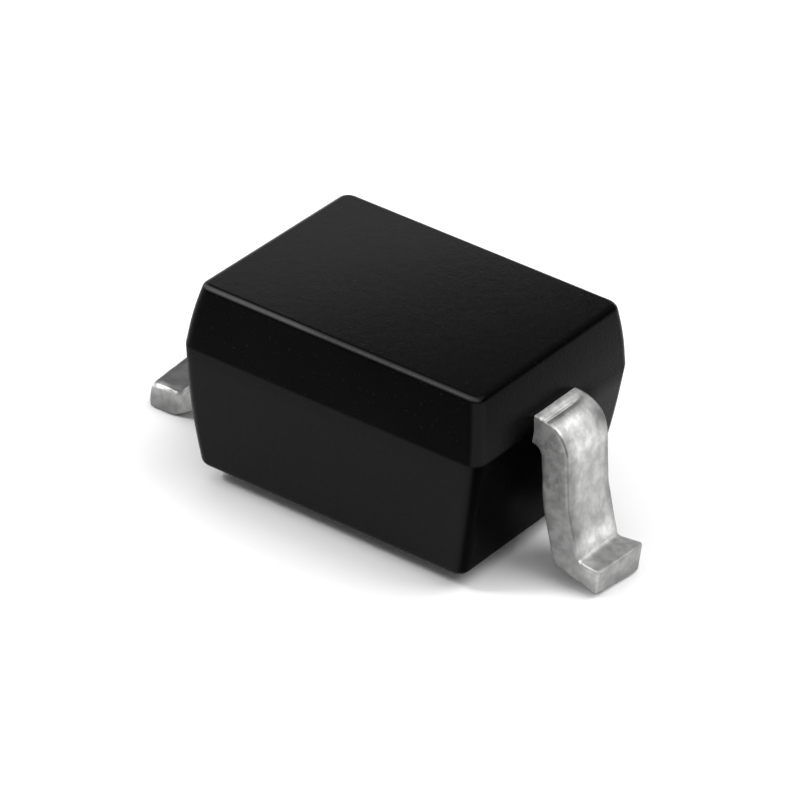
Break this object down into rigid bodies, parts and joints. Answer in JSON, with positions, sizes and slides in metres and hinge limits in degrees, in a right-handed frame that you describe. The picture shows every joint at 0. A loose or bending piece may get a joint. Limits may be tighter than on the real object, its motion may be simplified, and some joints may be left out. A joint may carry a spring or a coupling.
{
  "type": "zener diode",
  "caption": "Surface-mount zener diode: a small black moulded block with one bent gull-wing lead at each end.",
  "frame": {"origin": "on the seating plane, midway between the two leads", "axes": "+X runs from the cathode lead to the anode lead, +Z points away from the board, out of the flat top face"},
  "size_m": [0.0026, 0.0012, 0.0011],
  "materials": {
    "mould_compound": "fine-grained satin black epoxy",
    "tinned_lead": "matte tin plating with fine mottling",
    "silicon": "polished grey",
    "attach_layer": "dull silver-filled adhesive",
    "contact_metal": "satin",
    "gold_wire": "bright drawn wire"
  },
  "bodies": {
    "root": {"molded_body": "mould_compound", "cathode_lead": "tinned_lead", "anode_lead": "tinned_lead", "silicon_die": "silicon", "die_attach": "attach_layer", "anode_contact": "contact_metal", "bond_wire": "gold_wire"}
  },
  "joints": []
}
